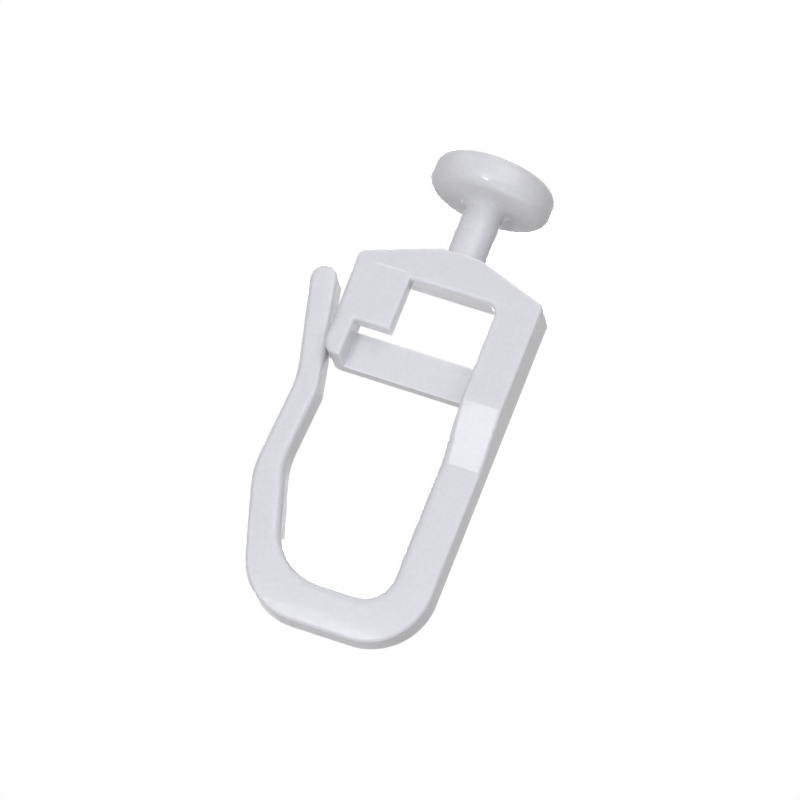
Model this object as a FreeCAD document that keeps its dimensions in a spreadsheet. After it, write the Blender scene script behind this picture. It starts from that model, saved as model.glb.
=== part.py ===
import FreeCAD, Part
import math
import os
import Sketcher
from FreeCAD import Vector

# Curtain glider, one injection moulding, in millimetres.
# The origin lies on the stem's axis at the underside of the head, Z points up and Y to the flat back.

SIZES = {
    # Head and stem
    "head_diameter": 10.0,  # disc that runs in the rail
    "head_thickness": 2.85,  # height of the disc
    "head_edge_radius": 1.0,  # rounding of the disc's rim, above and below
    "stem_diameter": 3.2,  # neck that passes the rail's slot
    "stem_length": 4.93,  # underside of the head to the shoulders
    "stem_head_radius": 0.8,  # blend between neck and disc

    # Frame below the stem
    "frame_width": 15.55,  # post to leg, outside
    "frame_depth": 3.8,  # front to back of the frame
    "shoulder_drop": 2.17,  # fall of each shoulder from the stem to the corner
    "shoulder_corner_radius": 0.55,  # outer corners of the shoulders
    "brow_height": 0.65,  # shoulder corner to the crease across the front
    "brow_setback": 0.25,  # how far the front leans back from the crease to the stem
    "lip_height": 0.45,  # crease to the front lip of the window's roof
    "roof_rise": 0.43,  # how far the roof of the window rises toward the back
    "window_corner_radius": 1.0,  # corner of the window beside the leg
    "leg_width": 3.44,  # side view of the long leg
    "post_width": 1.73,  # short post that the arm closes against
    "post_corner_radius": 1.35,  # foot of the post on the arm's side
    "tab_reach": 2.98,  # tab beyond the post
    "tab_height": 4.95,  # crease to the lower edge of the tab
    "tab_thickness": 1.55,  # tab, measured back from the front
    "hollow_recess": 0.3,  # how far the hollow behind the tab reaches into the post
    "bar_clearance": 0.24,  # lower edge of the tab to the top of the bar
    "bar_height": 3.02,  # cross-bar from post to leg
    "bar_thickness": 1.25,  # cross-bar, measured from the back

    # Hook
    "hook_length": 37.07,  # underside of the head to the lowest point
    "hook_depth": 2.55,  # leg and arm below the ramp, front to back
    "hook_floor": 3.47,  # thickness of the bend at the bottom
    "ramp_drop": 0.35,  # bar to the start of the ramp on the leg
    "ramp_length": 5.0,  # height of the ramp from frame depth to hook depth
    "toe_height": 6.5,  # lower part of the bend, whose front curves back
    "toe_setback": 0.65,  # how far the front has curved back at the bottom
    "bend_outer_radius": 5.2,  # both outer corners of the bend
    "bend_leg_radius": 2.4,  # inner corner of the bend at the leg
    "bend_arm_radius": 4.5,  # inner corner of the bend at the arm

    # Spring arm
    "arm_root_width": 2.62,  # arm between the bend and the lower knee
    "arm_middle_width": 2.1,  # arm between the knees
    "arm_tip_width": 2.2,  # arm at its round tip
    "arm_root_lean": 17.7,  # degrees, away from the leg
    "arm_middle_lean": 3.6,  # degrees, toward the leg
    "arm_tip_lean": 12.3,  # degrees, away from the leg
    "arm_tip_taper": 2.0,  # degrees, by which the arm widens toward its tip
    "gate_gap": 0.03,  # slit between the arm and the foot of the post
    "tip_below_head": 8.7,  # underside of the head to the top of the arm
    "upper_knee_below_head": 18.7,  # underside of the head to the upper knee
    "lower_knee_below_head": 24.85,  # underside of the head to the lower knee
    "lower_knee_radius": 6.0,  # inner curve of the lower knee
    "upper_knee_inner_radius": 2.0,  # curve of the upper knee, on the side of the leg
    "upper_knee_outer_radius": 8.0,  # curve of the upper knee, on the far side

    # Rounding of the moulding
    "frame_edge_radius": 0.3,  # front edges of leg, window and shoulders
    "post_edge_radius": 0.6,  # front edges of the post
    "tab_edge_radius": 0.25,  # front edges of the tab
    "eye_edge_radius": 0.75,  # front edge of the hook where the curtain's loop runs
    "hook_edge_radius": 0.3,  # front edge round the outside of the hook
    "arm_edge_radius": 0.45,  # front edges of the spring arm
    "back_edge_bevel": 0.15,  # bevel round the flat back
}

doc = FreeCAD.newDocument("curtain_glider")
sheet = doc.addObject("Spreadsheet::Sheet", "Sheet")
for row, (alias, number) in enumerate(SIZES.items(), 1):
    sheet.set("A%d" % row, alias)
    sheet.set("B%d" % row, str(number))
    sheet.setAlias("B%d" % row, alias)
doc.recompute()

body = doc.addObject("PartDesign::Body", "blank")

SHOULDER = "(Sheet.stem_length + Sheet.shoulder_drop)"
CREASE = "(%s + Sheet.brow_height)" % SHOULDER
LIP = "(%s + Sheet.lip_height)" % CREASE
ROOF_BACK = "(%s - Sheet.roof_rise)" % LIP
TAB_FOOT = "(%s + Sheet.tab_height)" % CREASE
BAR_TOP = "(%s + Sheet.bar_clearance)" % TAB_FOOT
POST_FOOT = "(%s + Sheet.bar_height)" % BAR_TOP
RAMP_TOP = "(%s + Sheet.ramp_drop)" % POST_FOOT
RAMP_FOOT = "(%s + Sheet.ramp_length)" % RAMP_TOP
HALF_DEPTH = "Sheet.frame_depth / 2"
HALF_WIDTH = "Sheet.frame_width / 2"
BACK = "-Sheet.frame_depth / 2"
FRONT = "-Sheet.frame_depth / 2"
CLEAR = "-Sheet.frame_depth"
HOOK_FRONT = "Sheet.frame_depth / 2 - Sheet.hook_depth"


def value(expression):
    """Present value of an expression over the sheet."""
    result = sheet.evalExpression(expression)
    return float(getattr(result, "Value", result))


def new_sketch(name, role, forward=None):
    """Sketch on a plane of the body's origin, moved forward along its normal by an expression."""
    sketch = body.newObject("Sketcher::SketchObject", name)
    plane = [item for item in body.Origin.OriginFeatures if item.Role == role][0]
    sketch.AttachmentSupport = (plane, [""])
    sketch.MapMode = "FlatFace"
    if forward:
        sketch.setExpression("AttachmentOffset.Base.z", forward)
    return sketch


def constrain(sketch, rules):
    """Adds all constraints at once; a rule with an expression at its end follows the sheet."""
    constraints = []
    for kind, numbers, expression in rules:
        measure = () if expression is None else (value(expression),)
        constraints.append(Sketcher.Constraint(kind, *numbers, *measure))
    for index, (kind, numbers, expression) in zip(sketch.addConstraint(constraints), rules):
        if expression is not None:
            sketch.setExpression("Constraints[%d]" % index, expression)


def at(line, across, up):
    """Rules that fix the start of a line by its distances from the sketch's origin."""
    rules = []
    if across is not None:
        rules.append(("DistanceX", (-1, 1, line, 1), across))
    if up is not None:
        rules.append(("DistanceY", (-1, 1, line, 1), up))
    return rules


def outline(sketch, corners):
    """Closed outline of straight lines through corners given as pairs of expressions."""
    points = [Vector(value(across), value(up), 0) for across, up in corners]
    count = len(points)
    rules = []
    for line in range(count):
        sketch.addGeometry(Part.LineSegment(points[line], points[(line + 1) % count]), False)
        rules.append(("Coincident", (line, 2, (line + 1) % count, 1), None))
        rules += at(line, *corners[line])
    constrain(sketch, rules)


def pad(name, sketch, length, backward=False):
    feature = body.newObject("PartDesign::Pad", name)
    feature.Profile = sketch
    feature.setExpression("Length", length)
    feature.Reversed = backward
    doc.recompute()
    return feature


def pocket(name, sketch, length):
    """Pocket along the normal of its sketch."""
    feature = body.newObject("PartDesign::Pocket", name)
    feature.Profile = sketch
    feature.setExpression("Length", length)
    feature.Reversed = True
    doc.recompute()


def cut_front(name, corners, leg_only=False):
    """Pocket across the front, drawn from the side as pairs of y and z."""
    sketch = new_sketch(name + "_profile", "YZ_Plane")
    outline(sketch, corners)
    feature = body.newObject("PartDesign::Pocket", name)
    feature.Profile = sketch
    feature.Type = "ThroughAll"
    feature.Midplane = not leg_only
    feature.Reversed = leg_only
    doc.recompute()


def dress_edges(name, kind, measure, expression, chosen):
    """Adds a fillet or chamfer on the edges of the body that the test chooses."""
    base = body.Tip
    names = ["Edge%d" % (i + 1) for i, edge in enumerate(base.Shape.Edges) if chosen(base.Shape, edge)]
    if not names:
        raise RuntimeError("%s finds no edge" % name)
    feature = body.newObject(kind, name)
    feature.Base = (base, names)
    feature.setExpression(measure, expression)
    doc.recompute()


def round_edges(name, radius, chosen):
    """Rounds the edges of the body that the test chooses."""
    dress_edges(name, "PartDesign::Fillet", "Radius", radius, chosen)


def round_corners(name, radius, *spots):
    """Rounds the edges that run from front to back through corners of an outline, given as x and z."""
    def at_a_spot(shape, edge):
        ends = [vertex.Point for vertex in edge.Vertexes]
        if len(ends) != 2:
            return False
        if abs(ends[0].y - ends[1].y) < value("Sheet.hook_depth / 2"):
            return False
        return any(abs(p.x - x) < 1e-4 and abs(p.z - z) < 1e-4 for p in ends for x, z in spots)
    round_edges(name, radius, at_a_spot)


def middle_of(edge):
    return edge.valueAt((edge.FirstParameter + edge.LastParameter) / 2)


def normals_beside(shape, edge):
    """Outward normals of the two faces that meet in an edge, taken at its middle."""
    point = middle_of(edge)
    return [face.normalAt(*face.Surface.parameter(point)) for face in shape.ancestorsOfType(edge, Part.Face)]


def rim_of(side):
    """Test for the edges between walls and the faces that look forward (-1) or backward (1)."""
    def chosen(shape, edge):
        normals = normals_beside(shape, edge)
        if len(normals) != 2:
            return False
        facing = sorted(normal.y * side for normal in normals)
        return abs(facing[0]) < 0.3 and facing[1] > 0.9
    return chosen


# Frame: shoulders, post and the upper leg, padded forward from the flat back
LEFT = "-%s" % HALF_WIDTH
RIGHT = HALF_WIDTH
POST_INSIDE = "(Sheet.post_width - %s)" % HALF_WIDTH
LEG_INSIDE = "(%s - Sheet.leg_width)" % HALF_WIDTH
TAB_RIGHT = "(%s + Sheet.tab_reach)" % POST_INSIDE
frame_sketch = new_sketch("frame_outline", "XZ_Plane", BACK)
outline(frame_sketch, [
    (LEFT, "-" + POST_FOOT),
    (LEFT, "-" + SHOULDER),
    ("-Sheet.stem_diameter / 2", "-Sheet.stem_length"),
    ("Sheet.stem_diameter / 2", "-Sheet.stem_length"),
    (RIGHT, "-" + SHOULDER),
    (RIGHT, "-" + RAMP_FOOT),
    (LEG_INSIDE, "-" + RAMP_FOOT),
    (LEG_INSIDE, "-" + LIP),
    (TAB_RIGHT, "-" + LIP),
    (TAB_RIGHT, "-" + TAB_FOOT),
    (POST_INSIDE, "-" + TAB_FOOT),
    (POST_INSIDE, "-" + POST_FOOT)])
pad("frame", frame_sketch, "Sheet.frame_depth")
roof_sketch = new_sketch("roof_profile", "YZ_Plane", TAB_RIGHT)
outline(roof_sketch, [
    (FRONT, "-" + LIP),
    (HALF_DEPTH, "-" + LIP),
    (HALF_DEPTH, "-" + ROOF_BACK)])
pocket("roof", roof_sketch, "%s - %s" % (LEG_INSIDE, TAB_RIGHT))
round_corners("shoulder_corners", "Sheet.shoulder_corner_radius",
              (value(LEFT), -value(SHOULDER)), (value(RIGHT), -value(SHOULDER)))
round_corners("window_corner", "Sheet.window_corner_radius", (value(LEG_INSIDE), -value(LIP)))
round_corners("post_corner", "Sheet.post_corner_radius", (value(LEFT), -value(POST_FOOT)))

# Hook: lower leg, bend and spring arm as one strip; the arm is placed by its slit beside the post's foot
hook_sketch = new_sketch("hook_outline", "XZ_Plane", BACK)
LEG_OUT, FLOOR_OUT, ROOT_OUT, MIDDLE_OUT, TIP_OUT = range(5)
TIP_IN, MIDDLE_IN, ROOT_IN, FLOOR_IN, LEG_IN, LEG_TOP = range(5, 11)
FOOT_CENTRE = ("Sheet.post_corner_radius - %s" % HALF_WIDTH, "Sheet.post_corner_radius - %s" % POST_FOOT)
FLOOR_LEVEL = "Sheet.hook_floor - Sheet.hook_length"


def up_to(start, lean, level):
    """Point that a line from start reaches at a level, with its lean in degrees away from the leg."""
    return Vector(start.x - math.tan(math.radians(lean)) * (level - start.y), level, 0)


foot_centre = Vector(value(FOOT_CENTRE[0]), value(FOOT_CENTRE[1]), 0)
tip_lean = value("Sheet.arm_tip_lean")
beside_foot = foot_centre - Vector(value("Sheet.post_corner_radius + Sheet.gate_gap"), 0, 0)
upper_knee = up_to(beside_foot, tip_lean, -value("Sheet.upper_knee_below_head"))
lower_knee = up_to(upper_knee, -value("Sheet.arm_middle_lean"), -value("Sheet.lower_knee_below_head"))
root = up_to(lower_knee, value("Sheet.arm_root_lean"), value(FLOOR_LEVEL))
tip = up_to(beside_foot, tip_lean, -value("Sheet.tip_below_head + Sheet.arm_tip_width / 2"))
width = Vector(value("Sheet.arm_tip_width"), 0, 0)
leg_side, leg_inner = value(RIGHT), value(LEG_INSIDE)
top_level, low_level = -value(RAMP_TOP), -value("Sheet.hook_length")
chains = (
    [Vector(leg_side, top_level, 0), Vector(leg_side, low_level, 0), Vector(root.x - width.x, low_level, 0),
     lower_knee - width, upper_knee - width, tip - width],
    [tip, upper_knee, lower_knee, root, Vector(leg_inner, root.y, 0), Vector(leg_inner, top_level, 0),
     Vector(leg_side, top_level, 0)])
for chain in chains:
    for start, end in zip(chain, chain[1:]):
        hook_sketch.addGeometry(Part.LineSegment(start, end), False)
TIP_ROUND = hook_sketch.addGeometry(
    Part.Arc(tip, tip - width / 2 + Vector(0, width.x / 2, 0), tip - width), False)
FOOT = hook_sketch.addGeometry(Part.Point(foot_centre), True)
rules = [("Coincident", (line, 2, line + 1, 1), None) for line in range(LEG_TOP) if line != TIP_OUT]
rules += [
    ("Coincident", (LEG_TOP, 2, LEG_OUT, 1), None),
    ("Tangent", (TIP_OUT, 2, TIP_ROUND, 2), None),
    ("Tangent", (TIP_IN, 1, TIP_ROUND, 1), None),
    ("Parallel", (ROOT_OUT, ROOT_IN), None),
    ("Parallel", (MIDDLE_OUT, MIDDLE_IN), None),
    ("Distance", (ROOT_IN, 2, ROOT_OUT), "Sheet.arm_root_width"),
    ("Distance", (MIDDLE_IN, 2, MIDDLE_OUT), "Sheet.arm_middle_width"),
    ("Radius", (TIP_ROUND,), "Sheet.arm_tip_width / 2"),
    ("Angle", (ROOT_IN,), "(-90 + Sheet.arm_root_lean) * 1 deg"),
    ("Angle", (MIDDLE_IN,), "(-90 - Sheet.arm_middle_lean) * 1 deg"),
    ("Angle", (TIP_IN,), "(-90 + Sheet.arm_tip_lean) * 1 deg"),
    ("Angle", (TIP_OUT,), "(90 + Sheet.arm_tip_lean + Sheet.arm_tip_taper) * 1 deg"),
    ("DistanceY", (-1, 1, TIP_ROUND, 3), "-Sheet.tip_below_head - Sheet.arm_tip_width / 2"),
    ("Distance", (FOOT, 1, TIP_IN), "Sheet.post_corner_radius + Sheet.gate_gap")]
rules += at(FOOT, *FOOT_CENTRE)
rules += at(LEG_OUT, RIGHT, "-" + RAMP_TOP)
rules += at(FLOOR_OUT, RIGHT, "-Sheet.hook_length")
rules += at(ROOT_OUT, None, "-Sheet.hook_length")
rules += at(MIDDLE_IN, None, "-Sheet.upper_knee_below_head")
rules += at(ROOT_IN, None, "-Sheet.lower_knee_below_head")
rules += at(FLOOR_IN, None, FLOOR_LEVEL)
rules += at(LEG_IN, LEG_INSIDE, FLOOR_LEVEL)
rules += at(LEG_TOP, LEG_INSIDE, "-" + RAMP_TOP)
constrain(hook_sketch, rules)
pad("hook", hook_sketch, "Sheet.hook_depth")


def corner_of(line):
    """Start of a line of the hook's outline as x and z."""
    point = hook_sketch.getPoint(line, 1)
    return point.x, point.y


round_corners("bend_outside", "Sheet.bend_outer_radius", corner_of(FLOOR_OUT), corner_of(ROOT_OUT))
round_corners("bend_at_leg", "Sheet.bend_leg_radius", corner_of(LEG_IN))
round_corners("bend_at_arm", "Sheet.bend_arm_radius", corner_of(FLOOR_IN))
round_corners("lower_knee_inside", "Sheet.lower_knee_radius", corner_of(ROOT_IN))
round_corners("lower_knee_outside", "Sheet.lower_knee_radius + Sheet.arm_middle_width", corner_of(MIDDLE_OUT))
round_corners("upper_knee_inside", "Sheet.upper_knee_inner_radius", corner_of(MIDDLE_IN))
round_corners("upper_knee_outside", "Sheet.upper_knee_outer_radius", corner_of(TIP_OUT))

# Ramp that thins the leg to the hook's depth
cut_front("leg_ramp", [
    (FRONT, "-" + RAMP_TOP),
    (CLEAR, "-" + RAMP_TOP),
    (CLEAR, "-%s - Sheet.ramp_length" % RAMP_FOOT),
    (HOOK_FRONT, "-%s - Sheet.ramp_length" % RAMP_FOOT),
    (HOOK_FRONT, "-" + RAMP_FOOT)], leg_only=True)

# The bend's front curves back toward the bottom
TOE_TOP = "Sheet.toe_height - Sheet.hook_length"
TOE_FOOT = HOOK_FRONT + " + Sheet.toe_setback"
toe_sketch = new_sketch("toe_profile", "YZ_Plane")
toe_start = Vector(value(HOOK_FRONT), value(TOE_TOP), 0)
toe_end = Vector(value(TOE_FOOT), -value("Sheet.hook_length"), 0)
toe_chain = [toe_start, Vector(value(CLEAR), toe_start.y, 0), Vector(value(CLEAR), toe_end.y, 0), toe_end]
for start, end in zip(toe_chain, toe_chain[1:]):
    toe_sketch.addGeometry(Part.LineSegment(start, end), False)
toe_fall, toe_back = toe_start.y - toe_end.y, toe_end.x - toe_start.x
toe_round = (toe_fall ** 2 + toe_back ** 2) / (2 * toe_back)
toe_centre = toe_start + Vector(toe_round, 0, 0)
halfway = math.asin(toe_fall / toe_round) / 2
toe_middle = toe_centre - Vector(math.cos(halfway), math.sin(halfway), 0) * toe_round
TOE_ARC = toe_sketch.addGeometry(Part.Arc(toe_start, toe_middle, toe_end), False)
rules = [("Coincident", (line, 2, line + 1, 1), None) for line in range(2)]
rules += [
    ("Coincident", (2, 2, TOE_ARC, 2), None),
    ("Coincident", (0, 1, TOE_ARC, 1), None),
    ("DistanceY", (-1, 1, TOE_ARC, 3), TOE_TOP)]
rules += at(0, HOOK_FRONT, TOE_TOP)
rules += at(1, CLEAR, TOE_TOP)
rules += at(2, CLEAR, "-Sheet.hook_length")
rules += [
    ("DistanceX", (-1, 1, 2, 2), TOE_FOOT),
    ("DistanceY", (-1, 1, 2, 2), "-Sheet.hook_length")]
constrain(toe_sketch, rules)
toe = body.newObject("PartDesign::Pocket", "toe_curve")
toe.Profile = toe_sketch
toe.Type = "ThroughAll"
toe.Midplane = True
doc.recompute()


def on_the_tab(edge):
    """True for an edge in the plane of the tab's right side or of its foot."""
    point = middle_of(edge)
    return abs(point.x - value(TAB_RIGHT)) < 1e-4 or abs(point.z + value(TAB_FOOT)) < 1e-4


def roll_radius(edge, spot):
    """Rounding of a front edge at one of its ends."""
    if spot.x > value(LEFT) - 1e-4 and spot.z > -value(RAMP_TOP) - 1e-4:
        above_the_foot = spot.x < value(LEFT) + 1e-4 and spot.z < -value(TAB_FOOT)
        return value("Sheet.post_edge_radius" if above_the_foot else "Sheet.frame_edge_radius")
    if spot.x < value(POST_INSIDE) and spot.z > value("Sheet.toe_height - Sheet.hook_length") + 1e-4:
        return value("Sheet.arm_edge_radius")
    wall = min(normals_beside(blank.Shape, edge), key=lambda normal: abs(normal.y))
    in_the_eye = Vector(0, 0, -value("Sheet.lower_knee_below_head"))
    faces_the_eye = wall.dot(in_the_eye - middle_of(edge)) > 0
    return value("Sheet.eye_edge_radius" if faces_the_eye else "Sheet.hook_edge_radius")


# Rolled front edges: broad round the eye, fine along the outside, each running over into the next
blank = body
front_rim = rim_of(-1)
rolls = []
for index, edge in enumerate(blank.Shape.Edges, 1):
    if front_rim(blank.Shape, edge) and not on_the_tab(edge):
        ends = [edge.valueAt(edge.FirstParameter), edge.valueAt(edge.LastParameter)]
        rolls.append((index, roll_radius(edge, ends[0]), roll_radius(edge, ends[1])))
rolled = doc.addObject("Part::Fillet", "rolled_edges")
rolled.Base = blank
rolled.Edges = rolls
doc.recompute()

body = doc.addObject("PartDesign::Body", "glider")
body.Label = "glider"
body.BaseFeature = rolled
doc.recompute()
round_edges("tab_edges", "Sheet.tab_edge_radius",
            lambda shape, edge: front_rim(shape, edge) and on_the_tab(edge))

# Brow that leans back from the crease to the stem
cut_front("brow_slope", [
    (FRONT, "-" + CREASE),
    (CLEAR, "-" + CREASE),
    (CLEAR, "0 mm"),
    (FRONT + " + Sheet.brow_setback", "0 mm"),
    (FRONT + " + Sheet.brow_setback", "-Sheet.stem_length")])

# Hollow behind the tab, open to the window and under the same roof
TAB_BACK = "Sheet.tab_thickness - %s" % HALF_DEPTH
hollow_sketch = new_sketch("hollow_profile", "YZ_Plane", "%s - Sheet.hollow_recess" % POST_INSIDE)
outline(hollow_sketch, [
    (TAB_BACK, "-" + BAR_TOP),
    (HALF_DEPTH, "-" + BAR_TOP),
    (HALF_DEPTH, "-" + ROOF_BACK),
    (TAB_BACK, "Sheet.roof_rise * Sheet.tab_thickness / Sheet.frame_depth - %s" % LIP)])
pocket("hollow", hollow_sketch, "Sheet.hollow_recess + Sheet.tab_reach")

# Cross-bar at the back, below the tab
bar_sketch = new_sketch("bar_outline", "XZ_Plane", BACK)
outline(bar_sketch, [
    (POST_INSIDE, "-" + POST_FOOT),
    (LEG_INSIDE, "-" + POST_FOOT),
    (LEG_INSIDE, "-" + BAR_TOP),
    (POST_INSIDE, "-" + BAR_TOP)])
pad("bar", bar_sketch, "Sheet.bar_thickness")
back_rim = rim_of(1)
dress_edges("back_edges", "PartDesign::Chamfer", "Size", "Sheet.back_edge_bevel",
            lambda shape, edge: back_rim(shape, edge)
            and (on_the_tab(edge) or abs(middle_of(edge).y - value(HALF_DEPTH)) < 1e-4))

# Stem and head, turned about the vertical axis
head_sketch = new_sketch("head_profile", "XZ_Plane")
outline(head_sketch, [
    ("0 mm", "-" + SHOULDER),
    ("Sheet.stem_diameter / 2", "-" + SHOULDER),
    ("Sheet.stem_diameter / 2", "0 mm"),
    ("Sheet.head_diameter / 2", "0 mm"),
    ("Sheet.head_diameter / 2", "Sheet.head_thickness"),
    ("0 mm", "Sheet.head_thickness")])
head = body.newObject("PartDesign::Revolution", "head")
head.Profile = head_sketch
head.ReferenceAxis = (head_sketch, ["V_Axis"])
head.Angle = 360
doc.recompute()


def ring_at(radius, level):
    """Test for a full circle about the stem's axis."""
    def chosen(shape, edge):
        if len(edge.Vertexes) != 1 or abs(edge.Length - 2 * math.pi * radius) > 1e-3:
            return False
        start = edge.Vertexes[0].Point
        return abs(start.z - level) < 1e-4 and abs(math.hypot(start.x, start.y) - radius) < 1e-4
    return chosen


head_radius, head_top = value("Sheet.head_diameter / 2"), value("Sheet.head_thickness")
under_rim, upper_rim = ring_at(head_radius, 0), ring_at(head_radius, head_top)
round_edges("head_rim", "Sheet.head_edge_radius",
            lambda shape, edge: under_rim(shape, edge) or upper_rim(shape, edge))
round_edges("stem_blend", "Sheet.stem_head_radius", ring_at(value("Sheet.stem_diameter / 2"), 0))

for item in doc.Objects:
    if "Invalid" in item.State or "Error" in item.State:
        raise RuntimeError("%s: %s" % (item.Name, item.State))
if body.Shape.isNull() or not body.Shape.isValid() or len(body.Shape.Solids) != 1:
    raise RuntimeError("the glider isn't one valid solid")
os.makedirs("parts", exist_ok=True)
body.Shape.exportStep("parts/%s.step" % body.Label)
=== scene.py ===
import math

import bmesh
import bpy
from mathutils import Euler, Matrix, Quaternion, Vector


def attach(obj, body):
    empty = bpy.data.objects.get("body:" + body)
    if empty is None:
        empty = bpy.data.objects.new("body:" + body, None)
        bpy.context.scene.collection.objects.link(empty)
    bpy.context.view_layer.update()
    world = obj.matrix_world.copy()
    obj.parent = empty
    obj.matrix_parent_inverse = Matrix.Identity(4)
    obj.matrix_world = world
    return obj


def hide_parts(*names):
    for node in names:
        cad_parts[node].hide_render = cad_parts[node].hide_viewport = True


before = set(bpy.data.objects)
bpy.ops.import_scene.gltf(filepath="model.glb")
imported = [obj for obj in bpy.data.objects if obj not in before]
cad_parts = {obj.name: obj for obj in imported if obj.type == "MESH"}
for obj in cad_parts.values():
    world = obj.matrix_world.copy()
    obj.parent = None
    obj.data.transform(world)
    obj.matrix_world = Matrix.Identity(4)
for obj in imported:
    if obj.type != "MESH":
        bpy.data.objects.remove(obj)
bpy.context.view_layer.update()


# Glider: head, stem, frame, hook and spring arm are one shot of white acetal, and nothing is fixed to it.
# It is injection moulded in a polished steel tool, which leaves a semi-gloss skin. Its shape is the CAD
# node's, with smooth rolled edges between sharp creases.
MM = 0.001  # metres
CREASE_ANGLE = 25.0  # degrees; faces that meet at more than this meet in a crease
BROW_FOOT = -7.75 * MM  # height of the crease above the tab
RAMP_TOP = -16.31 * MM  # heights of the creases between which the front of the leg slopes back
RAMP_FOOT = -21.31 * MM
LEVEL_SLACK = 0.002 * MM  # an edge that lies this close to a crease's height belongs to it
WELD = 0.0001 * MM  # corners of the node's loose triangles that are nearer than this are joined
glider = bpy.data.objects.new("glider_moulding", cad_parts["glider"].data.copy())
bpy.context.scene.collection.objects.link(glider)
skin_mesh = bmesh.new()
skin_mesh.from_mesh(glider.data)
bmesh.ops.remove_doubles(skin_mesh, verts=skin_mesh.verts, dist=WELD)
for face in skin_mesh.faces:
    face.smooth = True
for edge in skin_mesh.edges:
    heights = [corner.co.z for corner in edge.verts]
    in_crease = any(
        all(abs(height - crease) < LEVEL_SLACK for height in heights)
        for crease in (BROW_FOOT, RAMP_TOP, RAMP_FOOT))
    edge.smooth = not in_crease and edge.calc_face_angle(math.pi) < math.radians(CREASE_ANGLE)
skin_mesh.to_mesh(glider.data)
skin_mesh.free()
even = glider.modifiers.new("flats_stay_flat", "WEIGHTED_NORMAL")
even.keep_sharp = True
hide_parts("glider")
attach(glider, "root")


def linear(code):
    """Linear colour of an sRGB hex value."""
    channels = [int(code[i:i + 2], 16) / 255 for i in (1, 3, 5)]
    return [c / 12.92 if c <= 0.04045 else ((c + 0.055) / 1.055) ** 2.4 for c in channels] + [1.0]


def empty_tree(owner):
    """Node tree of a material or world, cleared for nodes of its own."""
    owner.use_nodes = True
    owner.node_tree.nodes.clear()
    return owner.node_tree


def add_node(tree, kind, settings=None, links=None):
    """Adds a node: settings are attributes or, by socket name, default values; links are sockets to join."""
    node = tree.nodes.new(kind)
    for key, value in (settings or {}).items():
        if key in node.inputs:
            node.inputs[key].default_value = value
        else:
            setattr(node, key, value)
    for key, socket in (links or {}).items():
        tree.links.new(socket, node.inputs[key])
    return node


# White acetal, moulded: a milky white with a soft sheen. Light enters a little under a millimetre deep, so
# shade on the thin arm and stem stays pale. Along the rolled edges the colour is painted paler, a painted
# highlight. The skin is slightly wavy and has a finer grain, so a lamp's reflection breaks into a few soft
# patches.
GRAIN_WIDTH = 0.25 * MM
GRAIN_HEIGHT = 0.01 * MM
WAVE_WIDTH = 0.7 * MM
WAVE_HEIGHT = 0.04 * MM
SHEEN = (0.15, 0.21)  # roughness in the hollows and on the crests of the waves
LIGHT_DEPTH = 0.8 * MM
PAINTED_EDGE_HIGHLIGHT_WIDTH = 0.3 * MM  # reach of the painted highlight along an edge
PAINTED_EDGE_HIGHLIGHT_TURN = 0.95  # cosine of the turn in the surface at which that painted highlight is palest
COLOUR_A, COLOUR_B, COLOUR_OUT = 6, 7, 2  # a Mix node's colour sockets, which share their names with others
acetal = bpy.data.materials.new("acetal_white_moulded_semi_gloss")
tree = empty_tree(acetal)
place = add_node(tree, "ShaderNodeTexCoord").outputs["Object"]
grain = add_node(tree, "ShaderNodeTexNoise", {"Scale": 1 / GRAIN_WIDTH, "Detail": 2.0}, {"Vector": place})
waves = add_node(tree, "ShaderNodeTexNoise", {"Scale": 1 / WAVE_WIDTH, "Detail": 1.0}, {"Vector": place})
tint = add_node(tree, "ShaderNodeValToRGB", links={"Fac": grain.outputs["Fac"]})
tint.color_ramp.elements[0].position = 0.3
tint.color_ramp.elements[0].color = linear("#e6e7ea")
tint.color_ramp.elements[1].position = 0.7
tint.color_ramp.elements[1].color = linear("#ebecef")
# Painted highlight: the base colour turns paler where the edge-softened normal turns away from the face's
# normal.
soft_edge = add_node(tree, "ShaderNodeBevel", {"samples": 8, "Radius": PAINTED_EDGE_HIGHLIGHT_WIDTH})
face_normal = add_node(tree, "ShaderNodeNewGeometry").outputs["Normal"]
turned = add_node(
    tree, "ShaderNodeVectorMath", {"operation": "DOT_PRODUCT"},
    {0: soft_edge.outputs["Normal"], 1: face_normal})
painted_edge_highlight = add_node(
    tree, "ShaderNodeMapRange", {"From Min": 1.0, "From Max": PAINTED_EDGE_HIGHLIGHT_TURN, "To Min": 0.0, "To Max": 1.0},
    {"Value": turned.outputs["Value"]})

# Painted highlight: a fine pale line is painted along the crease at the top of the tab, about 3 mm long and
# 0.15 mm wide.
CREASE_HIGHLIGHT_MIDDLE = (-4.8 * MM, -1.9 * MM, BROW_FOOT)
CREASE_HIGHLIGHT_REACH = (1.6 * MM, 0.6 * MM, 0.09 * MM)  # from its middle along, into and across it
CREASE_HIGHLIGHT_CORE = 0.6  # share of that reach over which it keeps its full tone
on_crease_highlight = add_node(
    tree, "ShaderNodeMapping", {"vector_type": "TEXTURE", "Location": CREASE_HIGHLIGHT_MIDDLE, "Scale": CREASE_HIGHLIGHT_REACH},
    {"Vector": place})
off_crease_highlight = add_node(
    tree, "ShaderNodeVectorMath", {"operation": "ABSOLUTE"}, {"Vector": on_crease_highlight.outputs["Vector"]})
offsets = add_node(tree, "ShaderNodeSeparateXYZ", links={"Vector": off_crease_highlight.outputs["Vector"]}).outputs
aside = add_node(tree, "ShaderNodeMath", {"operation": "MAXIMUM"}, {0: offsets["X"], 1: offsets["Y"]})
away = add_node(
    tree, "ShaderNodeMath", {"operation": "MAXIMUM"}, {0: aside.outputs["Value"], 1: offsets["Z"]})
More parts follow.
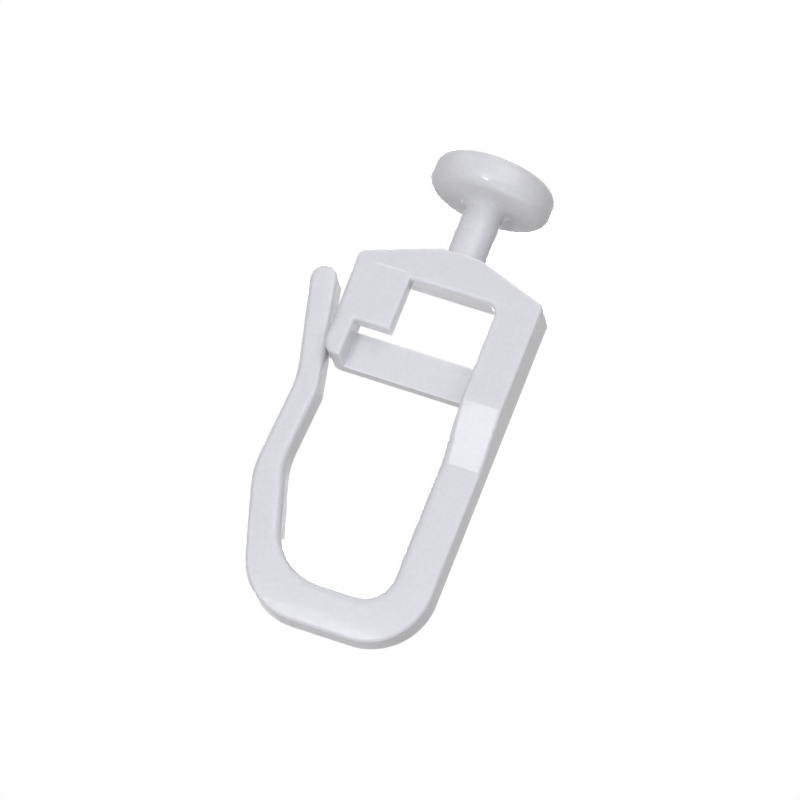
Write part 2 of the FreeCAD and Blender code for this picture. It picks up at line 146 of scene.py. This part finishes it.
painted_crease_highlight = add_node(
    tree, "ShaderNodeMapRange", {"From Min": CREASE_HIGHLIGHT_CORE, "From Max": 1.0, "To Min": 1.0, "To Max": 0.0},
    {"Value": away.outputs["Value"]})
# Painted highlights: the edge band and the crease line mix the grain tint toward the paler white below.
pale = add_node(
    tree, "ShaderNodeMath", {"operation": "MAXIMUM"}, {0: painted_edge_highlight.outputs["Result"], 1: painted_crease_highlight.outputs["Result"]})
tint_and_painted_highlights = add_node(
    tree, "ShaderNodeMix", {"data_type": "RGBA"},
    {"Factor": pale.outputs["Value"], COLOUR_A: tint.outputs["Color"]})
# colour of the painted highlights
tint_and_painted_highlights.inputs[COLOUR_B].default_value = linear("#f6f6f9")
wavy = add_node(
    tree, "ShaderNodeBump", {"Strength": 0.6, "Distance": WAVE_HEIGHT}, {"Height": waves.outputs["Fac"]})
grainy = add_node(
    tree, "ShaderNodeBump", {"Strength": 0.25, "Distance": GRAIN_HEIGHT},
    {"Height": grain.outputs["Fac"], "Normal": wavy.outputs["Normal"]})
sheen = add_node(
    tree, "ShaderNodeMapRange", {"To Min": SHEEN[0], "To Max": SHEEN[1]}, {"Value": waves.outputs["Fac"]})
skin = add_node(
    tree, "ShaderNodeBsdfPrincipled",
    {"IOR": 1.48, "Subsurface Weight": 0.4, "Subsurface Radius": (1.0, 0.95, 0.9),
     "Subsurface Scale": LIGHT_DEPTH},
    {"Base Color": tint_and_painted_highlights.outputs[COLOUR_OUT], "Roughness": sheen.outputs["Result"],
     "Normal": grainy.outputs["Normal"]})
add_node(tree, "ShaderNodeOutputMaterial", links={"Surface": skin.outputs["BSDF"]})
glider.data.materials.clear()
glider.data.materials.append(acetal)


# Floor: a sheet of off-white studio paper, laid flat well below the glider, which hangs free above it.
# Paper is matt, with a faint mottle from its fibres, and it shows pale to the camera and in reflections.
FLOOR_LEVEL = -0.6  # metres, as its side
FLOOR_SIDE = 8.0
FLOOR_PALENESS = 0.6  # strength of its own tone where it is seen
FIBRE_WIDTH = 2 * MM
sheet = bmesh.new()
bmesh.ops.create_grid(
    sheet, x_segments=1, y_segments=1, size=FLOOR_SIDE / 2, matrix=Matrix.Translation((0, 0, FLOOR_LEVEL)))
floor = bpy.data.objects.new("studio_floor", bpy.data.meshes.new("studio_floor"))
sheet.to_mesh(floor.data)
sheet.free()
bpy.context.scene.collection.objects.link(floor)


def seen_ray(tree):
    """Socket that is 1 for rays that the camera sees by, straight, mirrored or through glass, and else 0."""
    ray = add_node(tree, "ShaderNodeLightPath").outputs
    bent = add_node(
        tree, "ShaderNodeMath", {"operation": "MAXIMUM"},
        {0: ray["Is Glossy Ray"], 1: ray["Is Transmission Ray"]})
    seen = add_node(
        tree, "ShaderNodeMath", {"operation": "MAXIMUM"},
        {0: ray["Is Camera Ray"], 1: bent.outputs["Value"]})
    return seen.outputs["Value"]


paper = bpy.data.materials.new("studio_paper_matt")
tree = empty_tree(paper)
place = add_node(tree, "ShaderNodeTexCoord").outputs["Object"]
fibre = add_node(tree, "ShaderNodeTexNoise", {"Scale": 1 / FIBRE_WIDTH, "Detail": 4.0}, {"Vector": place})
tone = add_node(tree, "ShaderNodeValToRGB", links={"Fac": fibre.outputs["Fac"]})
tone.color_ramp.elements[0].color = linear("#f4f3f1")
tone.color_ramp.elements[1].color = linear("#f9f8f6")
paleness = add_node(
    tree, "ShaderNodeMapRange", {"To Min": 0.0, "To Max": FLOOR_PALENESS}, {"Value": seen_ray(tree)})
matt = add_node(
    tree, "ShaderNodeBsdfPrincipled", {"Roughness": 0.9},
    {"Base Color": tone.outputs["Color"], "Emission Color": tone.outputs["Color"],
     "Emission Strength": paleness.outputs["Result"]})
add_node(tree, "ShaderNodeOutputMaterial", links={"Surface": matt.outputs["BSDF"]})
floor.data.materials.append(paper)


# Studio: square soft boxes round the glider, two of them low, where a pale table would throw light back.
# A small one strikes the ramp and a smaller one the rim of the head, which answers with a spark. One overhead
# lights the tops and one opposite the camera the back. The surround is white to the eye and dim as a light.
LAMP_COLOUR = linear("#f8f9ff")[:3]
LAMP_TARGET = Vector((0, 0, -17 * MM))  # close to the middle of the glider


def soft_box(name, azimuth, elevation, power, width=0.30, distance=0.45):
    """Square lamp that looks at the glider from these angles in degrees, of this power in watts."""
    lamp = bpy.data.lights.new(name, "AREA")
    lamp.size = width
    lamp.energy = power
    lamp.color = LAMP_COLOUR
    box = bpy.data.objects.new(name, lamp)
    bpy.context.scene.collection.objects.link(box)
    turn = Euler((math.radians(90 - elevation), 0, math.radians(azimuth)))
    box.rotation_euler = turn
    box.location = LAMP_TARGET + turn.to_matrix() @ Vector((0, 0, distance))
    box.visible_camera = False


soft_box("front_panel", azimuth=0, elevation=0, power=0.44)
soft_box("front_panel_high", azimuth=0, elevation=40, power=0.14)
soft_box("right_front", azimuth=30, elevation=20, power=0.33)
soft_box("right_front_high", azimuth=30, elevation=40, power=0.31)
soft_box("left_high", azimuth=-60, elevation=40, power=0.23)
soft_box("table_bounce_right", azimuth=60, elevation=-65, power=0.42)
soft_box("table_bounce_left", azimuth=-60, elevation=-40, power=0.12)
soft_box("ramp_light", azimuth=-12, elevation=-11, power=0.085, width=0.06)
soft_box("head_light", azimuth=-8, elevation=-30, power=0.32, width=0.032)
soft_box("overhead", azimuth=0, elevation=90, power=4.5, width=1.2, distance=2.0)
soft_box("back_panel", azimuth=194.6, elevation=17, power=1.3, width=0.14)

world = bpy.data.worlds.new("studio_surround")
bpy.context.scene.world = world
tree = empty_tree(world)
room = add_node(tree, "ShaderNodeBackground", {"Color": linear("#fff3e2"), "Strength": 0.08})
white = add_node(tree, "ShaderNodeBackground", {"Color": linear("#ffffff"), "Strength": 1.0})
surround = add_node(
    tree, "ShaderNodeMixShader",
    links={0: seen_ray(tree), 1: room.outputs["Background"], 2: white.outputs["Background"]})
add_node(tree, "ShaderNodeOutputWorld", links={"Surface": surround.outputs["Shader"]})
bpy.context.scene.view_settings.view_transform = "Standard"


# Camera: a long lens almost half a metre from the glider, below it and a little to its right.
# It looks up at the glider's middle and is turned about its own axis, so the glider leans in the picture.
SENSOR_WIDTH = 36.0  # millimetres, as Blender counts both of these
FOCAL_LENGTH = 270.0
CAMERA_AZIMUTH = 14.621  # degrees
CAMERA_ELEVATION = -17.004
CAMERA_ROLL = 21.998
CAMERA_DISTANCE = 469.12 * MM
CAMERA_TARGET = Vector((-0.635 * MM, 0, -17.37 * MM))
lens = bpy.data.cameras.new("photo_camera")
lens.sensor_width = SENSOR_WIDTH
lens.lens = FOCAL_LENGTH
camera = bpy.data.objects.new("photo_camera", lens)
bpy.context.scene.collection.objects.link(camera)
look = Euler((math.radians(90 - CAMERA_ELEVATION), 0, math.radians(CAMERA_AZIMUTH))).to_quaternion()
camera.rotation_mode = "QUATERNION"
camera.rotation_quaternion = look @ Quaternion((0, 0, 1), math.radians(CAMERA_ROLL))
camera.location = CAMERA_TARGET + look @ Vector((0, 0, CAMERA_DISTANCE))
bpy.context.scene.camera = camera
